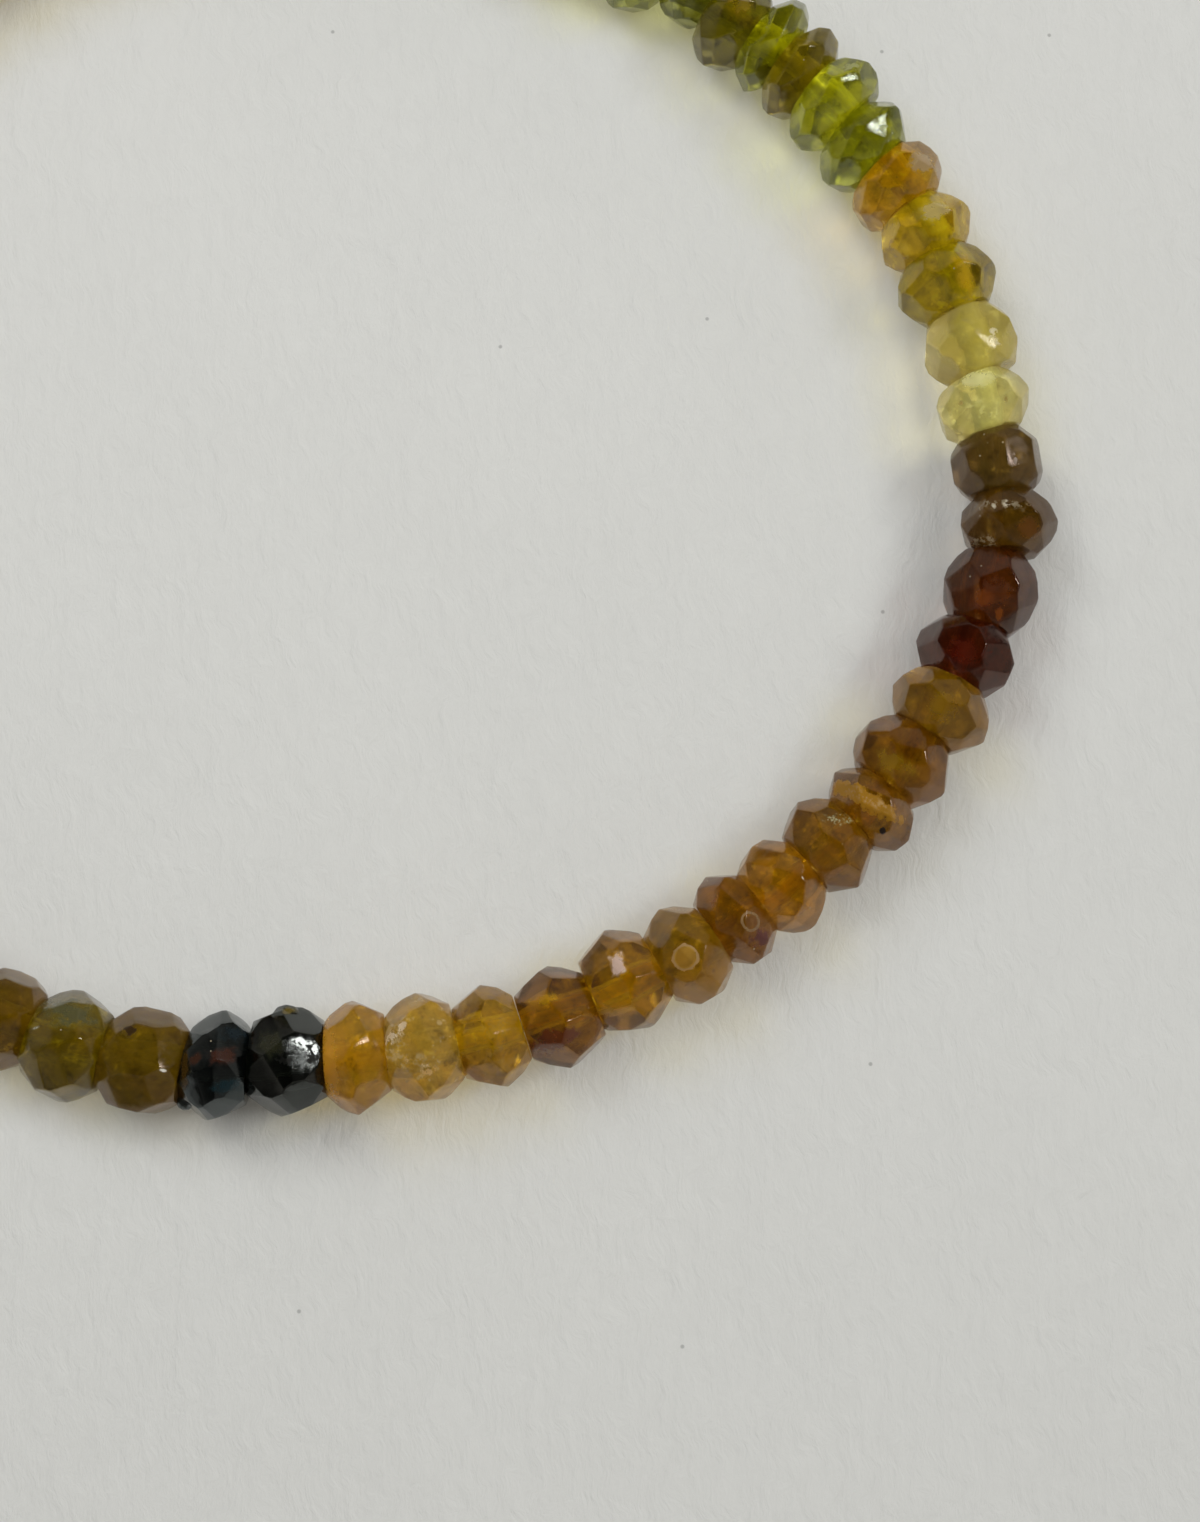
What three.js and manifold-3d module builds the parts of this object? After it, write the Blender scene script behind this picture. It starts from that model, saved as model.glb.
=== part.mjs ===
// A bracelet of faceted gemstone rondelles on a clear elastic cord, lying flat.
// Millimetres, +Z up. The origin is the middle of the loop, on the surface that the beads lie on.
// Every bead is cut facet by facet from a blank. The beads of the plain stretch are joined along
// their thread in short rows, and all the others are single stones with a drilled hole.

import * as THREE from "three";
import { mergeVertices } from "three/addons/utils/BufferGeometryUtils.js";
import Module from "manifold-3d";

const wasm = await Module();
wasm.setup();

// ---------------------------------------------------------------- driving dimensions

// The loop that the thread follows, seen from above, counter-clockwise.
const ROUTE = [
  [-14.4, -28.4],
  [-0.5, -30.1],
  [13.1, -26.9],
  [24.8, -18.95],
  [31.5, -6.15],
  [30.1, 8.85],
  [22.9, 19.2],
  [11.0, 26.9],
  [-2.5, 30.2],
  [-15.8, 27.1],
  [-26.3, 18.3],
  [-31.8, 5.9],
  [-31.6, -7.7],
  [-25.6, -20.0],
];
const ROUTE_LENGTH_STEPS = 2000;
const THREAD_HEIGHT = 2.42;
const FIRST_BEAD_START = -2.45;  // along the thread from the route's first point

const CORD_DIAMETER = 0.6;
const CORD_SIDES = 8;
const CORD_STEPS = 66;
const CORD_END_GAP = 0.3;
const BORE_DIAMETER = 1.05;
const BORE_SIDES = 8;
const BORE_OVERRUN = 1;         // how far the drill runs past each end face
const ROW_THREAD_REACH = 0.6;   // how far the thread between two joined beads runs into each

const BLANK_SIZE = 8;           // the cube that a bead is cut from
const ACROSS_OVER_FLATS = 1.03;  // a bead's mean diameter over that between its facets
const BEAD_GAP = 0.14;          // between the end faces of two beads
const REST_FLAT_DEPTH = 0.12;   // how much is worn off where a bead lies on the surface
const FACE_SHARE = 0.7;         // an end face's radius, as a share of the girdle's
const END_ROW_STEEPER = 18;     // degrees that the facets at the ends are steeper by
const END_ROW_INSET = 0.05;     // share of the radius that those facets cut off the end face

const FACET_TURN = 4;           // degrees that a hand-cut facet strays by
const FACET_SINK = 0.022;       // share of the radius that it strays by

// Each stone's colour, and how rough its polish is.
const STONES = {
  olive: { color: 0x6f6420, roughness: 0.3 },
  brown: { color: 0x7a4a1e, roughness: 0.3 },
  dark: { color: 0x16201c, roughness: 0.15 },
  honey: { color: 0xc98a2e, roughness: 0.25 },
  wine: { color: 0x4f150e, roughness: 0.2 },
  cocoa: { color: 0x523122, roughness: 0.4 },
  lemon: { color: 0xd3cd72, roughness: 0.35 },
  green: { color: 0x7d9a16, roughness: 0.2 },
};

// The graded stones, one row for each bead along the thread, in millimetres and degrees.
// pitch: length along the thread   across: diameter   shift: towards the loop's inside
// lean: turned off square to the thread   band: width of the girdle's own facets
// facets: facets in a row   spin: where the first facet sits, round the thread
const GRADED_BEADS = [
  { stone: "brown", pitch: 3.2, across: 4.9, shift: 0.0, lean: 0, band: 1.3, facets: 7, spin: 2 },
  { stone: "olive", pitch: 3.55, across: 5.25, shift: -0.15, lean: 0, band: 0.8, facets: 7, spin: 3 },
  { stone: "brown", pitch: 3.8, across: 5.15, shift: -0.15, lean: -6, band: 1.6, facets: 7, spin: 16 },
  { stone: "dark", pitch: 3.0, across: 5.1, shift: -0.1, lean: -8, band: 0.3, facets: 8, spin: 13 },
  { stone: "dark", pitch: 3.55, across: 5.1, shift: 0.15, lean: 0, band: 0.4, facets: 7, spin: 36 },
  { stone: "honey", pitch: 2.9, across: 5.35, shift: 0.1, lean: -2, band: 0.4, facets: 8, spin: 6 },
  { stone: "honey", pitch: 3.3, across: 5.2, shift: 0.05, lean: -2, band: 0.6, facets: 7, spin: 12 },
  { stone: "honey", pitch: 3.1, across: 4.9, shift: -0.1, lean: 2, band: 0.0, facets: 8, spin: 28 },
  { stone: "brown", pitch: 3.5, across: 4.8, shift: -0.15, lean: -1, band: 0.0, facets: 7, spin: 22 },
  { stone: "honey", pitch: 3.45, across: 5.05, shift: 0.25, lean: 0, band: 0.3, facets: 8, spin: 30 },
  { stone: "honey", pitch: 3.0, across: 4.95, shift: -0.05, lean: 3, band: 0.6, facets: 7, spin: 20 },
  { stone: "brown", pitch: 2.6, across: 4.8, shift: 0.3, lean: 1, band: 0.5, facets: 7, spin: 15 },
  { stone: "honey", pitch: 2.95, across: 4.75, shift: 0.25, lean: 1, band: 0.7, facets: 7, spin: 33 },
  { stone: "brown", pitch: 2.95, across: 4.95, shift: 0.3, lean: -4, band: 0.0, facets: 8, spin: 33 },
  { stone: "brown", pitch: 2.45, across: 4.8, shift: -0.1, lean: -4, band: 0.6, facets: 7, spin: 25 },
  { stone: "brown", pitch: 3.15, across: 5.05, shift: 0.05, lean: -3, band: 0.3, facets: 8, spin: 38 },
  { stone: "honey", pitch: 2.95, across: 5.1, shift: -0.2, lean: -4, band: 0.0, facets: 8, spin: 0 },
  { stone: "wine", pitch: 3.0, across: 4.95, shift: -0.25, lean: 0, band: 1.2, facets: 7, spin: 10 },
  { stone: "wine", pitch: 3.7, across: 4.6, shift: -0.4, lean: 1, band: 0.9, facets: 7, spin: 28 },
  { stone: "cocoa", pitch: 2.9, across: 4.7, shift: -0.8, lean: 7, band: 0.5, facets: 7, spin: 24 },
  { stone: "cocoa", pitch: 3.05, across: 4.7, shift: -0.3, lean: 9, band: 1.4, facets: 8, spin: 11 },
  { stone: "lemon", pitch: 2.95, across: 4.7, shift: 0.15, lean: 14, band: 0.9, facets: 7, spin: 27 },
  { stone: "lemon", pitch: 3.4, across: 4.85, shift: 0.1, lean: 12, band: 1.0, facets: 7, spin: 49 },
  { stone: "olive", pitch: 3.1, across: 5.15, shift: 0.5, lean: 2, band: 0.2, facets: 8, spin: 34 },
  { stone: "honey", pitch: 2.85, across: 4.9, shift: 0.42, lean: 3, band: 0.2, facets: 8, spin: 31 },
  { stone: "honey", pitch: 2.7, across: 5.05, shift: 0.5, lean: 7, band: 0.8, facets: 7, spin: 24 },
  { stone: "green", pitch: 2.65, across: 5.3, shift: 0.6, lean: 7, band: 0.4, facets: 8, spin: 10 },
  { stone: "green", pitch: 2.6, across: 5.5, shift: 0.25, lean: 2, band: 0.3, facets: 8, spin: 24 },
  { stone: "olive", pitch: 2.15, across: 5.2, shift: 0.2, lean: 4, band: 0.6, facets: 7, spin: 11 },
  { stone: "green", pitch: 1.9, across: 5.2, shift: 0.0, lean: 1, band: 0.5, facets: 7, spin: 31 },
  { stone: "olive", pitch: 2.7, across: 4.9, shift: 0.2, lean: 0, band: 0.6, facets: 7, spin: 5 },
  { stone: "green", pitch: 2.8, across: 4.3, shift: -0.55, lean: 0, band: 0.5, facets: 7, spin: 17 },
];

// The plain stretch round the back of the loop: single beads, then rows, then single beads.
const SINGLES_AFTER_GRADED = ["green", "olive", "green", "olive"];
const ROW_STONES = ["olive", "honey", "honey", "brown", "brown", "cocoa"];
const BEADS_IN_ROW = 4;
const SINGLES_BEFORE_GRADED = ["cocoa", "brown", "olive", "brown"];
const PLAIN_ACROSS = 4.95;
const PLAIN_BEAD_CUT = { facets: 7, band: 0.4 };
const ROW_BEAD_CUT = { facets: 6, band: 0 };
const PLAIN_ACROSS_VARIES = 0.25;
const PLAIN_LEAN_VARIES = 5;
const PLAIN_SPIN = 25;
const PLAIN_FIRST_SEED = 100;

// Lumps that stand proud of two of the stones: the remains of the rough crystal.
// along: from the bead's middle, along the thread   out: from its axis
// turn: degrees round the axis from the loop's inside   long, high: half its size along and outward
const LUMPS = [
  { bead: 5, along: 0.0, out: 1.95, turn: 16, long: 0.75, high: 0.72 },
  { bead: 4, along: -1.15, out: 1.8, turn: 184, long: 0.45, high: 0.5 },
];

// ---------------------------------------------------------------- the thread's route

const UP = new THREE.Vector3(0, 0, 1);

const route = new THREE.CatmullRomCurve3(
  ROUTE.map(([x, y]) => new THREE.Vector3(x, y, THREAD_HEIGHT)), true, "catmullrom", 0.5);
route.arcLengthDivisions = ROUTE_LENGTH_STEPS;
const routeLength = route.getLength();

function shareOfLoop(distance) {
  return THREE.MathUtils.euclideanModulo(distance / routeLength, 1);
}

function pointAt(distance) {
  return route.getPointAt(shareOfLoop(distance));
}

function headingAt(distance) {
  return route.getTangentAt(shareOfLoop(distance));
}

// ---------------------------------------------------------------- beads laid out along it

// A repeatable source of small differences between hand-cut stones, from -1 to 1.
function strayFrom(seed) {
  let state = seed * 2654435761 >>> 0;
  return () => {
    state = state + 0x6d2b79f5 >>> 0;
    let mixed = Math.imul(state ^ state >>> 15, 1 | state);
    mixed = mixed + Math.imul(mixed ^ mixed >>> 7, 61 | mixed) ^ mixed;
    return ((mixed ^ mixed >>> 14) >>> 0) / 2147483648 - 1;
  };
}

function plainBead(stone, cut, pitch, seed) {
  const stray = strayFrom(seed);
  return {
    ...cut,
    stone,
    pitch,
    across: PLAIN_ACROSS + PLAIN_ACROSS_VARIES * stray(),
    shift: 0,
    lean: PLAIN_LEAN_VARIES * stray(),
    spin: PLAIN_SPIN * (1 + stray()),
  };
}

function layOutBeads() {
  const gradedLength = GRADED_BEADS.reduce((sum, bead) => sum + bead.pitch, 0);
  const rowStones = ROW_STONES.flatMap((stone) => Array(BEADS_IN_ROW).fill(stone));
  const plainCount = SINGLES_AFTER_GRADED.length + rowStones.length + SINGLES_BEFORE_GRADED.length;
  const plainPitch = (routeLength - gradedLength) / plainCount;
  const beads = GRADED_BEADS.map((bead) => ({ ...bead, row: 0 }));
  const addPlain = (stone, cut, row) => {
    beads.push({ ...plainBead(stone, cut, plainPitch, PLAIN_FIRST_SEED + beads.length), row });
  };
  SINGLES_AFTER_GRADED.forEach((stone) => addPlain(stone, PLAIN_BEAD_CUT, 0));
  rowStones.forEach((stone, i) => addPlain(stone, ROW_BEAD_CUT, 1 + Math.floor(i / BEADS_IN_ROW)));
  SINGLES_BEFORE_GRADED.forEach((stone) => addPlain(stone, PLAIN_BEAD_CUT, 0));

  let along = FIRST_BEAD_START;
  for (const [i, bead] of beads.entries()) {
    bead.seed = i + 1;
    bead.start = along;
    along += bead.pitch;
    bead.end = along;
    bead.axis = headingAt((bead.start + bead.end) / 2)
      .applyAxisAngle(UP, THREE.MathUtils.degToRad(bead.lean));
  }
  return beads;
}

// The plane between two neighbours faces halfway between the ways that they point.
function endPlanes(beads, index) {
  const bead = beads[index];
  const before = beads[(index + beads.length - 1) % beads.length];
  const after = beads[(index + 1) % beads.length];
  return [
    { point: pointAt(bead.start), normal: before.axis.clone().add(bead.axis).normalize().negate() },
    { point: pointAt(bead.end), normal: after.axis.clone().add(bead.axis).normalize() },
  ];
}

// ---------------------------------------------------------------- solids

function solidFrom(geometry) {
  const bare = geometry.clone();
  bare.deleteAttribute("normal");
  bare.deleteAttribute("uv");
  const merged = mergeVertices(bare, 1e-4);
  return new wasm.Manifold(new wasm.Mesh({
    numProp: 3,
    vertProperties: new Float32Array(merged.attributes.position.array),
    triVerts: new Uint32Array(merged.index.array),
  }));
}

function geometryFrom(solid) {
  const { vertProperties, triVerts } = solid.getMesh();
  const geometry = new THREE.BufferGeometry();
  geometry.setAttribute("position", new THREE.BufferAttribute(new Float32Array(vertProperties), 3));
  geometry.setIndex(new THREE.BufferAttribute(new Uint32Array(triVerts), 1));
  return geometry;
}

// Keeps what lies behind a plane through the point, whose normal faces out of the stone.
function cutAlong(solid, point, normal, back = 0) {
  return solid.trimByPlane(normal.clone().negate().toArray(), back - point.dot(normal));
}

function rodBetween(from, to, radius, sides) {
  const way = to.clone().sub(from);
  const rod = new THREE.CylinderGeometry(radius, radius, way.length(), sides);
  rod.applyQuaternion(new THREE.Quaternion().setFromUnitVectors(new THREE.Vector3(0, 1, 0),
    way.clone().normalize()));
  const middle = from.clone().add(to).multiplyScalar(0.5);
  rod.translate(middle.x, middle.y, middle.z);
  return solidFrom(rod);
}

// One ring of facets. tilt is how far they face along the thread, in degrees, and each facet's
// plane passes the bead's axis at the given radius, at the given distance along it.
function ringOfFacets(bead, { tilt, along, radius, turn }, stray) {
  const facets = [];
  for (let i = 0; i < bead.facets; i += 1) {
    const round = THREE.MathUtils.degToRad(bead.spin + turn + (360 * i) / bead.facets
      + FACET_TURN * stray());
    const slope = THREE.MathUtils.degToRad(tilt + FACET_TURN * stray());
    const outward = bead.side.clone().multiplyScalar(Math.cos(round))
      .addScaledVector(UP, Math.sin(round));
    const normal = outward.clone().multiplyScalar(Math.cos(slope))
      .addScaledVector(bead.axis, Math.sin(slope));
    const reach = radius * (1 + FACET_SINK * stray());
    const point = bead.centre.clone().addScaledVector(bead.axis, along)
      .addScaledVector(outward, reach);
    facets.push({ point, normal });
  }
  return facets;
}

// The girdle's ring, then on each side a ring of large facets and a ring of small ones at the end.
function facetsOf(bead) {
  const stray = strayFrom(bead.seed);
  const radius = bead.across / 2 / ACROSS_OVER_FLATS;
  const halfLength = (bead.end - bead.start - BEAD_GAP) / 2;
  const ringOffset = bead.band / 4;
  const slope = (1 - FACE_SHARE) * radius / (halfLength - ringOffset);
  const tilt = THREE.MathUtils.radToDeg(Math.atan(slope));
  const step = 360 / bead.facets;
  const rings = [];
  if (bead.band > 0) {
    rings.push({ tilt: 0, along: 0, radius: radius - ringOffset * slope, turn: step / 4 });
  }
  for (const way of [1, -1]) {
    const turn = way > 0 ? 0 : step / 2;
    rings.push({ tilt: way * tilt, along: way * ringOffset, radius, turn });
    rings.push({
      tilt: way * (tilt + END_ROW_STEEPER),
      along: way * halfLength,
      radius: radius * (FACE_SHARE - END_ROW_INSET),
      turn: turn + step / 2,
    });
  }
  return rings.flatMap((ring) => ringOfFacets(bead, ring, stray));
}

// A bead without its hole: the blank, cut by its end faces and its facets, set down on the surface.
function stoneOf(beads, index) {
  const bead = beads[index];
  const middle = (bead.start + bead.end) / 2;
  bead.side = UP.clone().cross(bead.axis);
  bead.centre = pointAt(middle).addScaledVector(UP.clone().cross(headingAt(middle)), bead.shift);
  const blank = new THREE.BoxGeometry(BLANK_SIZE, BLANK_SIZE, BLANK_SIZE)
    .translate(...bead.centre.toArray());
  let stone = solidFrom(blank);
  for (const facet of facetsOf(bead)) {
    stone = cutAlong(stone, facet.point, facet.normal);
  }
  for (const lump of LUMPS.filter(({ bead: number }) => number === bead.seed)) {
    stone = stone.add(lumpOn(bead, lump));
  }
  for (const end of endPlanes(beads, index)) {
    stone = cutAlong(stone, end.point, end.normal, BEAD_GAP / 2);
  }
  const drop = stone.boundingBox().min[2] + REST_FLAT_DEPTH;
  stone = stone.translate([0, 0, -drop]);
  return stone.trimByPlane([0, 0, 1], 0);
}

function lumpOn(bead, { along, out, turn, long, high }) {
  const round = THREE.MathUtils.degToRad(turn);
  const outward = bead.side.clone().multiplyScalar(Math.cos(round)).addScaledVector(UP, Math.sin(round));
  const across = bead.axis.clone().cross(outward);
  const place = bead.centre.clone().addScaledVector(bead.axis, along).addScaledVector(outward, out);
  const lump = new THREE.IcosahedronGeometry(1, 1).scale(long, high, high);
  lump.applyMatrix4(new THREE.Matrix4().makeBasis(bead.axis, outward, across).setPosition(place));
  return solidFrom(lump);
}

function drilledStone(beads, index) {
  const bead = beads[index];
  const from = pointAt(bead.start);
  const to = pointAt(bead.end);
  const way = to.clone().sub(from).normalize();
  const bore = rodBetween(from.addScaledVector(way, -BORE_OVERRUN),
    to.addScaledVector(way, BORE_OVERRUN), BORE_DIAMETER / 2, BORE_SIDES);
  return stoneOf(beads, index).subtract(bore);
}

// Beads joined by the thread that runs between them, with none of it past the first and last.
function rowOfStones(beads, indices) {
  let row = stoneOf(beads, indices[0]);
  for (const index of indices.slice(1)) {
    const joint = beads[index].start;
    const thread = rodBetween(pointAt(joint - ROW_THREAD_REACH), pointAt(joint + ROW_THREAD_REACH),
      BORE_DIAMETER / 2, BORE_SIDES);
    row = row.add(stoneOf(beads, index)).add(thread);
  }
  return row;
}

function cordGeometry(from, to) {
  class Stretch extends THREE.Curve {
    getPoint(t) {
      return pointAt(from + (to - from) * t);
    }
  }
  const section = new THREE.Shape();
  for (let i = 0; i < CORD_SIDES; i += 1) {
    const angle = (2 * Math.PI * i) / CORD_SIDES;
    const corner = [CORD_DIAMETER / 2 * Math.cos(angle), CORD_DIAMETER / 2 * Math.sin(angle)];
    if (i === 0) {
      section.moveTo(...corner);
    } else {
      section.lineTo(...corner);
    }
  }
  section.closePath();
  return new THREE.ExtrudeGeometry(section, { steps: CORD_STEPS, extrudePath: new Stretch() });
}

// ---------------------------------------------------------------- the bracelet

function stoneMaterial(stone) {
  return new THREE.MeshStandardMaterial({ ...STONES[stone], metalness: 0 });
}

function namedMesh(name, geometry, material) {
  const mesh = new THREE.Mesh(geometry, material);
  mesh.name = name;
  return mesh;
}

const bracelet = new THREE.Group();
const beads = layOutBeads();

const singles = [...beads.keys()].filter((index) => beads[index].row === 0);
singles.forEach((index, i) => {
  const name = `bead_${String(i + 1).padStart(2, "0")}`;
  const material = stoneMaterial(beads[index].stone);
  bracelet.add(namedMesh(name, geometryFrom(drilledStone(beads, index)), material));
});

ROW_STONES.forEach((stone, i) => {
  const indices = [...beads.keys()].filter((index) => beads[index].row === i + 1);
  const geometry = geometryFrom(rowOfStones(beads, indices));
  bracelet.add(namedMesh(`bead_row_${i + 1}`, geometry, stoneMaterial(stone)));
});

const rowBeads = beads.filter((bead) => bead.row > 0);
const cordFrom = rowBeads.at(-1).end + CORD_END_GAP;
const cordTo = rowBeads[0].start - CORD_END_GAP + routeLength;
const cordMaterial = new THREE.MeshStandardMaterial({ color: 0xe8e4d8, roughness: 0.3, metalness: 0 });
bracelet.add(namedMesh("elastic_cord", cordGeometry(cordFrom, cordTo), cordMaterial));

export default bracelet;
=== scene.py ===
"""A bracelet of faceted gemstone rondelles on a clear elastic cord, lying on pale paper."""

import math

import bmesh
import bpy
import numpy as np
from mathutils import Matrix, Vector, noise


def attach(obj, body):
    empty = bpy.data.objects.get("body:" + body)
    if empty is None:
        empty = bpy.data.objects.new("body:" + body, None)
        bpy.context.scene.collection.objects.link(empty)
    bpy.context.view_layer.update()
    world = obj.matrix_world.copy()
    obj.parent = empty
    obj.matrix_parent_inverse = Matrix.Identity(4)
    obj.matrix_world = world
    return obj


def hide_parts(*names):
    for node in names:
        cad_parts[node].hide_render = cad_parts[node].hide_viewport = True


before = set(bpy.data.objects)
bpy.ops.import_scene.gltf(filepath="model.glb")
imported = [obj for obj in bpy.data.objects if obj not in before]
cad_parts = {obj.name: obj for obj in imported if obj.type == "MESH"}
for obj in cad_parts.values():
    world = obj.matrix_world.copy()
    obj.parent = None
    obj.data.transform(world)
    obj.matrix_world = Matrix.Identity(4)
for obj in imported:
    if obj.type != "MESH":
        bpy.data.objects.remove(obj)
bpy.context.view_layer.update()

# ------------------------------------------------------------------ sizes, in metres

MM = 0.001

# The loop that the thread follows, seen from above, counter-clockwise, as in the CAD part.
ROUTE = [
    (-14.4, -28.4),
    (-0.5, -30.1),
    (13.1, -26.9),
    (24.8, -18.95),
    (31.5, -6.15),
    (30.1, 8.85),
    (22.9, 19.2),
    (11.0, 26.9),
    (-2.5, 30.2),
    (-15.8, 27.1),
    (-26.3, 18.3),
    (-31.8, 5.9),
    (-31.6, -7.7),
    (-25.6, -20.0),
]
THREAD_HEIGHT = 2.42 * MM
CORD_DIAMETER = 0.6 * MM
BORE_DIAMETER = 1.05 * MM

ROUTE_STEPS = 120  # points on the route from one corner to the next
COARSE_STEP = 4  # a stone's place along the thread is read at every fourth of them

# ------------------------------------------------------------------ the thread


def thread_table():
    """Points along the closed Catmull-Rom route, and each one's distance along it."""
    corners = np.array(ROUTE) * MM
    shares = np.arange(ROUTE_STEPS)[:, None] / ROUTE_STEPS
    points = []
    for i in range(len(corners)):
        before, start, end, after = (corners[(i + k) % len(corners)] for k in (-1, 0, 1, 2))
        leave, arrive = (end - before) / 2, (after - start) / 2
        bend = 2 * start - 2 * end + leave + arrive
        pull = -3 * start + 3 * end - 2 * leave - arrive
        points.append(bend * shares ** 3 + pull * shares ** 2 + leave * shares + start)
    points = np.vstack(points + [corners[:1]])
    lengths = np.linalg.norm(np.diff(points, axis=0), axis=1)
    return points, np.concatenate([[0], np.cumsum(lengths)])


THREAD, ALONG = thread_table()
LOOP = ALONG[-1]


def thread_point(distance):
    distance %= LOOP
    x = np.interp(distance, ALONG, THREAD[:, 0])
    y = np.interp(distance, ALONG, THREAD[:, 1])
    return Vector((x, y, THREAD_HEIGHT))


def stretch_of(places):
    """How far along the thread a stone starts and ends, from its corners."""
    flat = np.array([(p.x, p.y) for p in places])
    gaps = np.linalg.norm(flat[:, None, :] - THREAD[None, ::COARSE_STEP, :], axis=2)
    along = ALONG[::COARSE_STEP][gaps.argmin(axis=1)]
    along = along[0] + (along - along[0] + LOOP / 2) % LOOP - LOOP / 2
    return along.min(), along.max()


def thread_distance(place):
    """How far a place is from the thread's middle line."""
    flat = np.linalg.norm(THREAD - np.array((place.x, place.y)), axis=1).min()
    return math.hypot(flat, place.z - THREAD_HEIGHT)


# ------------------------------------------------------------------ building materials


class Shader:
    """Builds one material's nodes. A socket's value is a number, a colour or another socket."""

    def __init__(self, name):
        self.material = bpy.data.materials.new(name)
        self.material.use_nodes = True
        self.tree = self.material.node_tree
        self.surface = self.tree.nodes["Principled BSDF"]
        self.output = self.tree.nodes["Material Output"]

    def put(self, socket, value):
        if isinstance(value, bpy.types.NodeSocket):
            self.tree.links.new(value, socket)
        else:
            socket.default_value = value

    def add(self, kind, inputs, **settings):
        node = self.tree.nodes.new(f"ShaderNode{kind}")
        for name, value in settings.items():
            setattr(node, name, value)
        for name, value in inputs.items():
            self.put(node.inputs[name], value)
        return node

    def math(self, operation, a, b=0.0, clamp=False):
        return self.add("Math", {0: a, 1: b}, operation=operation, use_clamp=clamp).outputs[0]

    def vector(self, operation, a, b=(0, 0, 0)):
        node = self.add("VectorMath", {0: a, 1: b}, operation=operation)
        return node.outputs["Value" if operation in ("LENGTH", "DISTANCE") else "Vector"]

    def fade(self, value, start, end, low=0.0, high=1.0):
        """Goes softly from low, where the value is at start, to high, where it is at end."""
        inputs = {"Value": value, "From Min": start, "From Max": end, "To Min": low, "To Max": high}
        return self.add("MapRange", inputs, interpolation_type="SMOOTHSTEP").outputs[0]

    def noise(self, place, scale, detail=3.0, rough=0.55, seed=0.0):
        inputs = {"Vector": place, "W": seed, "Scale": scale, "Detail": detail, "Roughness": rough}
        return self.add("TexNoise", inputs, noise_dimensions="4D").outputs[0]

    def blend(self, share, a, b):
        """Colour a where the share is 0, colour b where it is 1."""
        node = self.add("Mix", {}, data_type="RGBA")
        self.put(node.inputs[0], share)
        self.put(node.inputs[6], a)
        self.put(node.inputs[7], b)
        return node.outputs[2]

    def scaled(self, a, factor):
        node = self.add("VectorMath", {0: a, "Scale": factor}, operation="SCALE")
        return node.outputs["Vector"]

    def part(self, place, axis):
        return self.add("SeparateXYZ", {0: place}).outputs[axis]

    def millimetres(self):
        """The place on the piece in its own axes, in millimetres."""
        coordinates = self.tree.nodes.new("ShaderNodeTexCoord")
        return self.vector("MULTIPLY", coordinates.outputs["Object"], (1 / MM,) * 3)


# ------------------------------------------------------------------ camera, paper and light

CAMERA_TARGET = Vector((12.8, -15.8, 2.5)) * MM
CAMERA_DISTANCE = 123.8 * MM
CAMERA_ELEVATION = math.radians(80)
CAMERA_BACK = Vector((0, -math.cos(CAMERA_ELEVATION), math.sin(CAMERA_ELEVATION)))
CAMERA_PLACE = CAMERA_TARGET + CAMERA_BACK * CAMERA_DISTANCE
SENSOR_WIDTH = 36
FOCAL_SHARE = 1.70828  # the focal length over the picture's long side


def add_camera():
    data = bpy.data.cameras.new("camera")
    data.sensor_width = SENSOR_WIDTH
    data.lens = SENSOR_WIDTH * FOCAL_SHARE
    data.clip_start = 0.01
    data.clip_end = 10
    camera = bpy.data.objects.new("camera", data)
    bpy.context.scene.collection.objects.link(camera)
    camera.location = CAMERA_PLACE
    camera.rotation_euler = (-CAMERA_BACK).to_track_quat("-Z", "Y").to_euler()
    bpy.context.scene.camera = camera


# Soft lamps that shine at the loop's middle. way, distance: where a lamp is, seen from there
# seen: whether the stones show it too, as the glints in their facets do with the window
WINDOW = {"way": (0.72, 0.23, 0.66), "distance": 0.9, "size": (0.14, 0.15), "power": 1.3,
          "colour": (1.0, 1.0, 1.0), "seen": True}
LAMPS = {
    "overhead": {"way": (-0.05, -0.06, 1.0), "distance": 0.19, "size": (0.22, 0.22), "power": 0.088,
                 "colour": (0.98, 1.0, 1.0), "seen": False},
    "soft_right": {"way": (0.85, 0.0, 0.8), "distance": 0.5, "size": (0.15, 0.15), "power": 0.64,
                   "colour": (0.99, 1.0, 0.98), "seen": False},
    "soft_left": {"way": (-0.6, 0.58, 1.0), "distance": 0.33, "size": (0.15, 0.15), "power": 0.48,
                  "colour": (0.98, 0.99, 1.0), "seen": False},
    "window": WINDOW,
}


def place_of(lamp):
    return Vector(lamp["way"]).normalized() * lamp["distance"]


def add_lamp(name, lamp):
    data = bpy.data.lights.new(name, "AREA")
    data.shape = "RECTANGLE"
    data.size, data.size_y = lamp["size"]
    data.energy = lamp["power"]
    data.color = lamp["colour"]
    light = bpy.data.objects.new(name, data)
    bpy.context.scene.collection.objects.link(light)
    light.location = place_of(lamp)
    light.rotation_euler = (-light.location).to_track_quat("-Z", "Y").to_euler()
    light.visible_glossy = lamp["seen"]
    light.visible_transmission = lamp["seen"]


# The room's brightness, from the horizon up to straight above, where the ceiling is dark.
ROOM = [(0.0, 0.19), (0.45, 0.21), (0.62, 0.12), (0.8, 0.035), (1.0, 0.02)]
ROOM_COLOUR = (1.0, 0.92, 0.84)
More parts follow.
